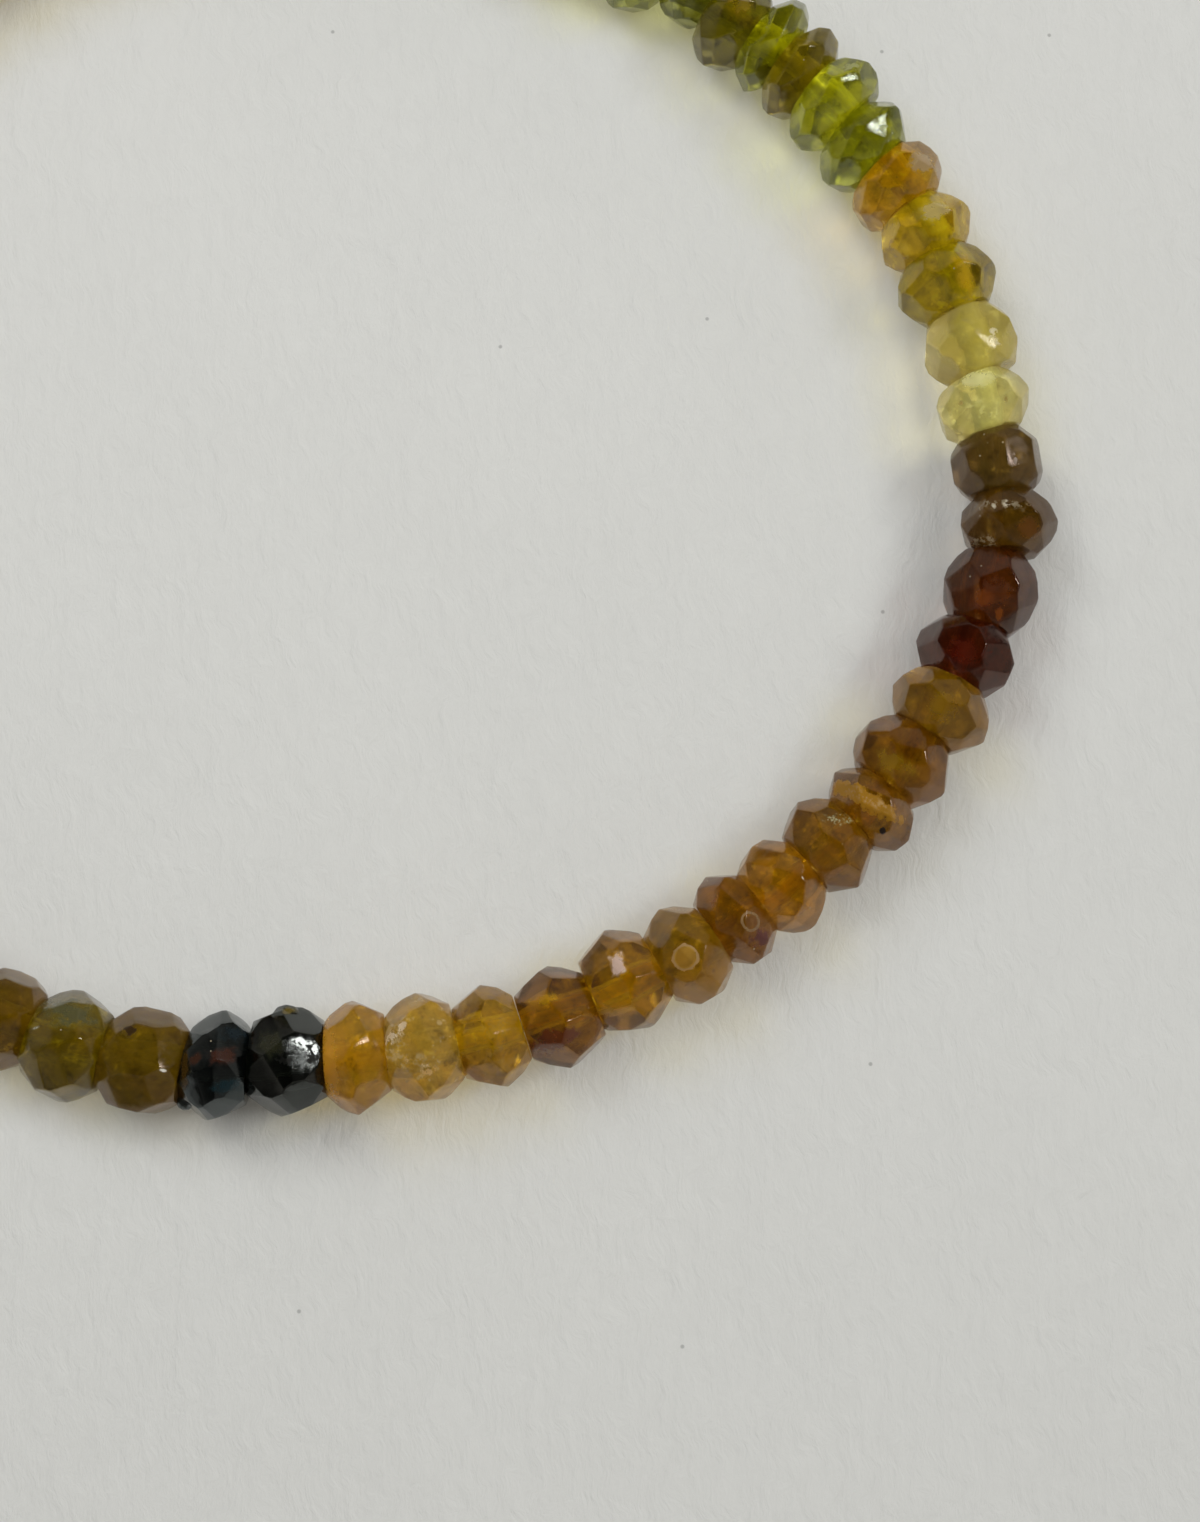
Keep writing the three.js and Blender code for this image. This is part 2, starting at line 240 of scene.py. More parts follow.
# The furniture and walls that the facets reflect, as soft lighter and darker patches.
ROOM_PATCHES = {"Scale": 1.7, "Detail": 1.0}
ROOM_CONTRAST = {"From Min": 0.35, "From Max": 0.65, "To Min": 0.25, "To Max": 1.75}


def add_room():
    world = bpy.data.worlds.new("room")
    bpy.context.scene.world = world
    world.use_nodes = True
    nodes, links = world.node_tree.nodes, world.node_tree.links
    way = nodes.new("ShaderNodeTexCoord")
    split = nodes.new("ShaderNodeSeparateXYZ")
    ramp = nodes.new("ShaderNodeValToRGB")
    patches = nodes.new("ShaderNodeTexNoise")
    contrast = nodes.new("ShaderNodeMapRange")
    links.new(way.outputs["Generated"], split.inputs[0])
    links.new(split.outputs["Z"], ramp.inputs[0])
    links.new(ramp.outputs[0], nodes["Background"].inputs["Color"])
    links.new(way.outputs["Generated"], patches.inputs["Vector"])
    links.new(patches.outputs[0], contrast.inputs["Value"])
    links.new(contrast.outputs[0], nodes["Background"].inputs["Strength"])
    for node, settings in ((patches, ROOM_PATCHES), (contrast, ROOM_CONTRAST)):
        for name, value in settings.items():
            node.inputs[name].default_value = value
    stops = ramp.color_ramp.elements
    while len(stops) < len(ROOM):
        stops.new(1.0)
    for stop, (height, light) in zip(stops, ROOM):
        stop.position = height
        stop.color = (*[c * light for c in ROOM_COLOUR], 1)


PAPER_COLOUR = (0.74, 0.74, 0.71)
PAPER_ROUGHNESS = 0.9
PAPER_SIZE = 1.6
PAPER_BELOW = 0.02 * MM
FIBRE_RELIEF = 0.17 * MM
FIBRE_SHADE = 0.012  # how much lighter or darker a fibre is than the paper, as a share
CLOUD_SHADE = 0.008
SPECK_SCALE = 0.11  # of the specks' pattern, for places in millimetres
SPECK_SHARE = 0.28  # of the places for a speck, how many have one
SPECK_DARKNESS = 0.35


def paper_material():
    """White paper with faint fibres that run up the picture, and a few tiny specks."""
    paper = Shader("paper")
    place = paper.millimetres()
    sway = paper.add("TexNoise", {"Vector": place, "Scale": 0.4}).outputs["Color"]
    swayed = paper.vector("ADD", place, paper.scaled(sway, 2.0))
    fibres = paper.noise(paper.vector("MULTIPLY", swayed, (1.4, 0.5, 1.0)), 1.0, 5, 0.6, 2.0)
    clouds = paper.noise(place, 0.09, 3, 0.5, 5.0)
    shade = paper.math("ADD", paper.fade(fibres, 0.25, 0.75, -FIBRE_SHADE, FIBRE_SHADE),
                       paper.fade(clouds, 0.3, 0.7, -CLOUD_SHADE, CLOUD_SHADE))
    shade = paper.math("ADD", shade, 1.0)
    inputs = {"Vector": place, "Scale": SPECK_SCALE}
    speck = paper.add("TexVoronoi", inputs, voronoi_dimensions="2D")
    chosen = paper.math("GREATER_THAN", paper.part(speck.outputs["Color"], 0), 1 - SPECK_SHARE)
    dark = paper.math("MULTIPLY", paper.fade(speck.outputs["Distance"], 0.014, 0.006), chosen)
    dark = paper.math("MULTIPLY", dark, SPECK_DARKNESS)
    shade = paper.math("MULTIPLY", shade, paper.math("SUBTRACT", 1.0, dark))
    paper.put(paper.surface.inputs["Base Color"], paper.scaled(PAPER_COLOUR, shade))
    paper.surface.inputs["Roughness"].default_value = PAPER_ROUGHNESS
    bump = paper.add("Bump", {"Strength": 0.7, "Distance": FIBRE_RELIEF, "Height": fibres})
    paper.put(paper.surface.inputs["Normal"], bump.outputs[0])
    return paper.material


def add_stage():
    bpy.ops.mesh.primitive_plane_add(size=PAPER_SIZE, location=(0, 0, -PAPER_BELOW))
    paper = bpy.context.object
    paper.name = "paper"
    paper.data.materials.append(paper_material())
    for name, lamp in LAMPS.items():
        add_lamp(name, lamp)
    bpy.context.scene.view_settings.view_transform = "Standard"


# ------------------------------------------------------------------ stones from the CAD

CORNER_WELD = 0.001 * MM
BORE_REACH = 0.58 * BORE_DIAMETER  # the bore's corners lie nearer to the thread than this
SHORT_EDGE = 0.12 * MM
FLAT_ANGLE = math.radians(0.6)
CREASE_ANGLE = math.radians(5)
JOINT_CLOSING = 0.13 * MM
EDGE_ROUNDING = 0.07 * MM
STONE_RADIUS = 2.3 * MM
POLISH_STEP = 0.01 * MM
DRILL_REACH = 4 * MM
DRILL_SIDES = 20
LONGEST_EDGE = 0.6 * MM
SPLITS = 3  # how often an edge that is too long may be halved
FACET_WAVE = 0.012 * MM
WAVES = 0.9  # the scale of the waves' noise, for places in millimetres
WAVE_SHIFT = (7.3, 3.1, 1.7)  # how far each stone's waves are from the last one's in that noise
SHARP_ANGLE = math.radians(38)
NORMAL_WEIGHT = 80


def stones_in(node):
    """The stones of a CAD node as closed meshes without a hole, in order along the thread."""
    mesh = bmesh.new()
    mesh.from_mesh(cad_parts[node].data)
    bmesh.ops.remove_doubles(mesh, verts=mesh.verts, dist=CORNER_WELD)
    near = {v for v in mesh.verts if thread_distance(v.co) < BORE_REACH}
    inner = [f for f in mesh.faces if all(v in near for v in f.verts)]
    bmesh.ops.delete(mesh, geom=inner, context="FACES")
    rims = [e for e in mesh.edges if e.is_boundary]
    bmesh.ops.holes_fill(mesh, edges=rims, sides=0)
    stones = [copy_of(faces) for faces in islands_of(mesh)]
    mesh.free()
    return sorted(stones, key=lambda stone: sum(stretch_of([v.co for v in stone.verts])))


def islands_of(mesh):
    """The mesh's faces, as one list for each separate body."""
    islands, done = [], set()
    for first in mesh.faces:
        if first in done:
            continue
        done.add(first)
        island = [first]
        for face in island:
            for edge in [e for e in face.edges if e.is_manifold]:
                for other in edge.link_faces:
                    if other not in done:
                        done.add(other)
                        island.append(other)
        islands.append(island)
    return islands


def copy_of(faces):
    """A new mesh that holds only these faces."""
    stone = bmesh.new()
    corners = {}
    for face in faces:
        for v in face.verts:
            if v not in corners:
                corners[v] = stone.verts.new(v.co)
        stone.faces.new([corners[v] for v in face.verts])
    stone.normal_update()
    return stone


def stone_frame(stone):
    """The stone's own axes: X along its thread, Y to the loop's inside, Z up, from its middle."""
    start, end = stretch_of([v.co for v in stone.verts])
    first, last = thread_point(start), thread_point(end)
    way = (last - first).normalized()
    side = Vector((0, 0, 1)).cross(way)
    middle = (first + last) / 2
    turn = Matrix((way, side, Vector((0, 0, 1)))).transposed().to_4x4()
    return Matrix.Translation(middle) @ turn


def close_up(stone):
    """Makes the stone a little longer, so that neighbours nearly touch."""
    xs = [v.co.x for v in stone.verts]
    length = max(xs) - min(xs)
    for v in stone.verts:
        v.co.x *= (length + JOINT_CLOSING) / length


def soften_edges(stone):
    """Joins the triangles of each facet, and rounds the edges between the facets."""
    bmesh.ops.dissolve_limit(stone, angle_limit=FLAT_ANGLE, verts=stone.verts, edges=stone.edges)
    bmesh.ops.remove_doubles(stone, verts=stone.verts, dist=SHORT_EDGE)
    bmesh.ops.dissolve_degenerate(stone, edges=stone.edges, dist=CORNER_WELD)
    creases = [e for e in stone.edges if e.is_manifold and e.calc_face_angle(0) > CREASE_ANGLE]
    bmesh.ops.bevel(stone, geom=creases, offset=EDGE_ROUNDING, segments=2, profile=0.5,
                    affect="EDGES", clamp_overlap=True)


def polish(stone, place, area):
    """Takes the stone's crest off at one flat facet, turned so that it mirrors the window."""
    crest = place.translation + Vector((0, 0, STONE_RADIUS))
    half = (place_of(WINDOW) - crest).normalized() + (CAMERA_PLACE - crest).normalized()
    normal = place.to_3x3().transposed() @ half.normalized()
    reach = max(v.co.dot(normal) for v in stone.verts)
    while True:
        reach -= POLISH_STEP
        cut = stone.copy()
        bmesh.ops.bisect_plane(cut, geom=cut.verts[:] + cut.edges[:] + cut.faces[:],
                               plane_co=normal * reach, plane_no=normal, clear_outer=True)
        rim = [e for e in cut.edges if e.is_boundary]
        (facet,) = bmesh.ops.holes_fill(cut, edges=rim, sides=0)["faces"]
        if facet.calc_area() >= area:
            stone.free()
            return cut
        cut.free()


def drill():
    """What the drill takes out of a stone: a rod along X."""
    mesh = bmesh.new()
    rings = []
    for x in (-DRILL_REACH, DRILL_REACH):
        ring = []
        for i in range(DRILL_SIDES):
            angle = 2 * math.pi * i / DRILL_SIDES
            y, z = math.cos(angle), math.sin(angle)
            ring.append(mesh.verts.new((x, y * BORE_DIAMETER / 2, z * BORE_DIAMETER / 2)))
        rings.append(ring)
    join_rings(mesh, *rings)
    mesh.faces.new(list(reversed(rings[0])))
    mesh.faces.new(rings[-1])
    bmesh.ops.recalc_face_normals(mesh, faces=mesh.faces)
    return object_from("drill", mesh)


def join_rings(mesh, a, b):
    for i in range(len(a)):
        k = (i + 1) % len(a)
        mesh.faces.new((a[i], a[k], b[k], b[i]))


def object_from(name, mesh):
    data = bpy.data.meshes.new(name)
    mesh.to_mesh(data)
    mesh.free()
    piece = bpy.data.objects.new(name, data)
    bpy.context.scene.collection.objects.link(piece)
    return piece


def cut_away(piece, cutter):
    """Takes the cutter's shape out of the piece."""
    boolean = piece.modifiers.new("cut", "BOOLEAN")
    boolean.operation = "DIFFERENCE"
    boolean.solver = "EXACT"
    boolean.use_self = True
    boolean.object = cutter
    shapes = bpy.context.evaluated_depsgraph_get()
    result = bpy.data.meshes.new_from_object(piece.evaluated_get(shapes))
    piece.modifiers.clear()
    old = piece.data
    piece.data = result
    bpy.data.meshes.remove(old)
    bpy.data.objects.remove(cutter)


def drop_slivers(mesh):
    """Keeps the stone alone: where a rounded edge folds over, the cut leaves a sliver beside it."""
    slivers = sorted(islands_of(mesh), key=len)[:-1]
    bmesh.ops.delete(mesh, geom=[face for sliver in slivers for face in sliver], context="FACES")


def refine(piece, seed):
    """Splits long edges and lets the facets wave a little, as hand-cut ones do."""
    mesh = bmesh.new()
    mesh.from_mesh(piece.data)
    drop_slivers(mesh)
    bmesh.ops.triangulate(mesh, faces=mesh.faces)
    for _ in range(SPLITS):
        long_edges = [e for e in mesh.edges if e.calc_length() > LONGEST_EDGE]
        if not long_edges:
            break
        bmesh.ops.subdivide_edges(mesh, edges=long_edges, cuts=1)
        bmesh.ops.triangulate(mesh, faces=[f for f in mesh.faces if len(f.verts) > 3])
    mesh.normal_update()
    offset = Vector([seed * shift for shift in WAVE_SHIFT])
    moves = [v.normal * noise.noise(v.co / MM * WAVES + offset) * FACET_WAVE for v in mesh.verts]
    for v, move in zip(mesh.verts, moves):
        v.co += move
    mesh.to_mesh(piece.data)
    mesh.free()


def shade(piece):
    piece.data.shade_smooth()
    piece.data.set_sharp_from_angle(angle=SHARP_ANGLE)
    weighted = piece.modifiers.new("normals", "WEIGHTED_NORMAL")
    weighted.mode = "FACE_AREA"
    weighted.weight = NORMAL_WEIGHT
    weighted.keep_sharp = True


# ------------------------------------------------------------------ gem materials

REFRACTION = 1.66
PATH = 4 * MM  # the way through a stone over which its depth colour is what is left
SCRATCH_RELIEF = 0.05 * MM
PATCH = {"turn": 0, "soft": 0.7, "ragged": 0.25, "rough": 0.2, "square": False, "ring": None,
         "grain": None}


def opaque(colour):
    return (*colour, 1)


def patch_mask(gem, place, patch, seed):
    """Where a patch lies on the stone's upper side, with a ragged edge."""
    across, along = patch["size"]
    inputs = {"Vector": place, "Location": (*patch["at"], 0),
              "Rotation": (0, 0, math.radians(patch["turn"])), "Scale": (across, along, 1000)}
    own = gem.add("Mapping", inputs, vector_type="TEXTURE").outputs[0]
    ragged = patch["ragged"]
    stray = gem.fade(gem.noise(place, 2.4, 3, 0.6, seed), 0.3, 0.7, -ragged, ragged)
    if patch["square"]:
        sides = gem.vector("ABSOLUTE", own)
        far = gem.math("MAXIMUM", gem.part(sides, 0), gem.part(sides, 1))
    else:
        far = gem.vector("LENGTH", own)
    reach = gem.math("ADD", far, stray)
    inside = gem.fade(reach, 1.0, 1.0 - patch["soft"])
    if patch["ring"]:
        inner = 1.0 - patch["ring"]
        inside = gem.math("MULTIPLY", inside, gem.fade(reach, inner - 0.1, inner))
    if patch["grain"]:
        crumbs = gem.noise(place, patch["grain"], 3, 0.7, seed + 1)
        inside = gem.math("MULTIPLY", inside, gem.fade(crumbs, 0.47, 0.56))
    upper = gem.fade(gem.part(place, 2), -0.2, 0.6)
    return gem.math("MULTIPLY", inside, upper)


class Stone(Shader):
    """A clear stone's material. body: its colour, with a painted sheen on its lower sides and painted glints on some stones   milk: its cloudy share   rough: its roughness
    """

    def __init__(self, name, look, seed):
        super().__init__(name)
        self.look = look
        self.seed = seed
        self.place = self.millimetres()
        self.tint = Vector(look["tint"])
        self.cloud = self.noise(self.place, 0.6, 4, 0.6, seed)
        self.clouds()
        self.rim()
        for i, patch in enumerate(look["patches"]):
            self.patch({**PATCH, **patch}, seed + 20 + i)
        self.bore()
        self.veils()
        self.pits()
        self.surface_sockets()
        self.inside()

    def add_milk(self, mask, share, clamp=False):
        self.milk = self.math("ADD", self.milk, self.math("MULTIPLY", mask, share), clamp)

    def clouds(self):
        """Darker and lighter clouds in the stone, and finer ones in its polish."""
        tint, dim, milk = self.tint, self.look["dim"], self.look["milk"]
        body = self.blend(self.fade(self.cloud, 0.4, 0.65), opaque(tint), opaque(tint * dim))
        grain = self.noise(self.place, 1.5, 4, 0.7, self.seed + 5)
        body = self.blend(self.fade(grain, 0.5, 0.7), body, opaque(tint * dim ** 2))
        self.body = self.blend(self.fade(grain, 0.46, 0.3), body, opaque(tint * 1.6))
        self.milk = self.fade(self.cloud, 0.35, 0.7, milk * 0.5, milk * 1.6)
        fine = self.noise(self.place, 3.2, 3, 0.6, self.seed + 9)
        self.rough = self.fade(fine, 0.35, 0.7, self.look["rough"], self.look["rough"] + 0.1)

    def rim(self):
        """The lower sides, where the stone is hazier and is half blended to its rim sheen colour, a
        painted sheen.
        """
        height = self.math("ADD", self.part(self.place, 2), self.fade(self.cloud, 0.3, 0.7, -0.5, 0.5))
        rim = self.fade(height, 1.6, 0.6)
        half = self.math("MULTIPLY", rim, 0.5)
        # painted sheen: the lower sides take half of a colour that stands in for the room's reflection
        self.body = self.blend(half, self.body, opaque(self.look["rim_sheen_colour"]))
        self.add_milk(rim, self.look["rim"])

    def patch(self, patch, seed):
        mask = patch_mask(self, self.place, patch, seed)
        self.body = self.blend(mask, self.body, opaque(patch["colour"]))
        self.add_milk(mask, patch["milk"], clamp=True)
        self.rough = self.math("ADD", self.rough, self.math("MULTIPLY", mask, patch["rough"]))

    def bore(self):
        """The drill's rough walls, which show as a paler channel in the clearer stones."""
        channel = self.look["channel"]
        axis = self.vector("LENGTH", self.vector("MULTIPLY", self.place, (0, 1, 1)))
        bore = self.fade(axis, 0.56, 0.5)
        paler = Vector([min(1, c ** 0.7 * 1.1) for c in self.tint])
        walls = (self.tint * self.look["dim"]).lerp(paler, channel)
        self.body = self.blend(bore, self.body, opaque(walls))
        self.add_milk(bore, 0.6 - 0.35 * channel)
        self.rough = self.math("ADD", self.rough, self.math("MULTIPLY", bore, 0.4), clamp=True)

    def veils(self):
        """Thin feathery flaws."""
        wisps = self.noise(self.place, 1.1, 6, 0.72, self.seed + 7)
        veil = self.fade(wisps, 0.53, 0.6, 0.0, self.look["veils"])
        self.body = self.blend(veil, self.body, opaque(self.look["veil_colour"]))
        self.add_milk(veil, 0.35)

    def pits(self):
        """Small specks and pits in the surface."""
        pits = self.add("TexVoronoi", {"Vector": self.place, "Scale": 1.7})
        chosen = self.math("GREATER_THAN", self.part(pits.outputs["Color"], 0), 1 - self.look["specks"])
        pit = self.math("MULTIPLY", self.fade(pits.outputs["Distance"], 0.1, 0.05), chosen)
        self.body = self.blend(pit, self.body, opaque(self.look["speck_colour"]))
        self.add_milk(pit, 0.6)

    def surface_sockets(self):
        sockets = self.surface.inputs
        self.put(sockets["Base Color"], self.body)
        clear = self.math("SUBTRACT", 1.0, self.milk, clamp=True)
        self.put(sockets["Transmission Weight"], clear)
        self.put(sockets["Roughness"], self.rough)
        sockets["IOR"].default_value = REFRACTION
        sockets["Specular IOR Level"].default_value = self.look["shine"]
        sockets["Specular Tint"].default_value = opaque(self.look["sheen"])
        stretched = self.vector("MULTIPLY", self.place, (5.0, 1.2, 2.0))
        scratch = self.noise(stretched, 4.0, 4, 0.7, self.seed + 3)
        inputs = {"Strength": self.look["worn"], "Distance": SCRATCH_RELIEF, "Height": scratch}
        self.put(sockets["Normal"], self.add("Bump", inputs).outputs[0])

    def inside(self):
        """What the stone's depth absorbs, and how much of the lamps' light it lets through."""
        loss = [-math.log(share) / PATH for share in self.look["depth"]]
        density = max(loss)
        colour = opaque([1 - c / density for c in loss])
        passes = self.add("BsdfTransparent", {"Color": opaque(self.look["lamps"])})
        rays = self.tree.nodes.new("ShaderNodeLightPath")
        both = self.add("MixShader", {0: rays.outputs["Is Shadow Ray"], 1: self.surface.outputs[0],
                                      2: passes.outputs[0]})
        self.put(self.output.inputs["Surface"], both.outputs[0])
        volume = self.add("VolumeAbsorption", {"Density": density, "Color": colour})
        self.put(self.output.inputs["Volume"], volume.outputs[0])


# lamps: how much of the lamps' light passes   tint: the colour of light that has crossed the surface
# depth: what 4 mm of stone leaves of it   dim: how much darker the clouds are
# milk: the cloudy share   rim: the lower sides' further cloudy share   rough, worn: the polish
# shine, sheen: how strong the gloss is, and its colour   channel: how clear the bore's walls are
# specks: the share of places with one   veils: how much the feathery flaws show
USUAL = {
    "lamps": (0.76, 0.76, 0.78), "dim": 0.52, "milk": 0.08, "rim": 0.1, "rough": 0.07, "worn": 0.1,
    "shine": 0.38, "sheen": (1.0, 0.8, 0.7), "channel": 0.0, "specks": 0.1,
    "speck_colour": (0.5, 0.42, 0.28), "veils": 0.0, "veil_colour": (0.62, 0.45, 0.25),
    "patches": [],
}
# rim_sheen_colour: the colour half blended onto each kind's lower sides, a painted sheen
KINDS = {
    "olive": {
        "lamps": (0.8, 0.8, 0.8), "tint": (0.30, 0.24, 0.003), "depth": (0.9, 0.86, 0.65),
        "rim_sheen_colour": (0.2, 0.17, 0.08), "sheen": (1.0, 0.9, 0.75)},
    "brown": {
        "tint": (0.36, 0.19, 0.003), "depth": (0.92, 0.84, 0.62), "rim_sheen_colour": (0.22, 0.11, 0.06)},
    "dark": {
        "lamps": (0.56, 0.56, 0.58), "tint": (0.035, 0.04, 0.03), "depth": (0.2, 0.18, 0.14),
        "milk": 0.03, "rough": 0.04, "rim": 0.0, "rim_sheen_colour": (0.02, 0.03, 0.025), "shine": 0.13,
        "sheen": (0.88, 1.0, 1.0), "specks": 0.2, "worn": 0.05},
    "honey": {
        "lamps": (0.9, 0.87, 0.76), "tint": (0.52, 0.33, 0.003), "depth": (0.95, 0.9, 0.68),
        "rim_sheen_colour": (0.42, 0.25, 0.13)},
    "wine": {
        "lamps": (0.64, 0.66, 0.72), "tint": (0.22, 0.045, 0.005), "depth": (0.8, 0.54, 0.4),
        "milk": 0.04, "rim_sheen_colour": (0.09, 0.04, 0.03)},
    "cocoa": {
        "lamps": (0.64, 0.66, 0.72), "tint": (0.26, 0.14, 0.02), "depth": (0.8, 0.68, 0.52),
        "milk": 0.2, "rough": 0.14, "rim_sheen_colour": (0.13, 0.07, 0.04), "specks": 0.2},
    "lemon": {
        "lamps": (0.96, 0.94, 0.84), "tint": (0.8, 0.7, 0.25), "depth": (0.98, 0.96, 0.85),
        "milk": 0.25, "rough": 0.14, "dim": 0.88, "rim_sheen_colour": (0.6, 0.48, 0.24),
        "sheen": (1.0, 0.94, 0.8)},
    "green": {
        "lamps": (0.93, 0.91, 0.78), "tint": (0.48, 0.47, 0.004), "depth": (0.9, 0.92, 0.6),
        "milk": 0.05, "rim_sheen_colour": (0.25, 0.25, 0.12), "sheen": (0.92, 1.0, 0.85)},
}

STONE_KINDS = """brown olive brown dark dark honey honey honey brown honey honey brown honey brown
brown brown honey wine wine cocoa cocoa lemon lemon olive honey honey green green olive green olive
green green olive green olive cocoa brown olive brown""".split()
ROW_KINDS = "olive honey honey brown brown cocoa".split()

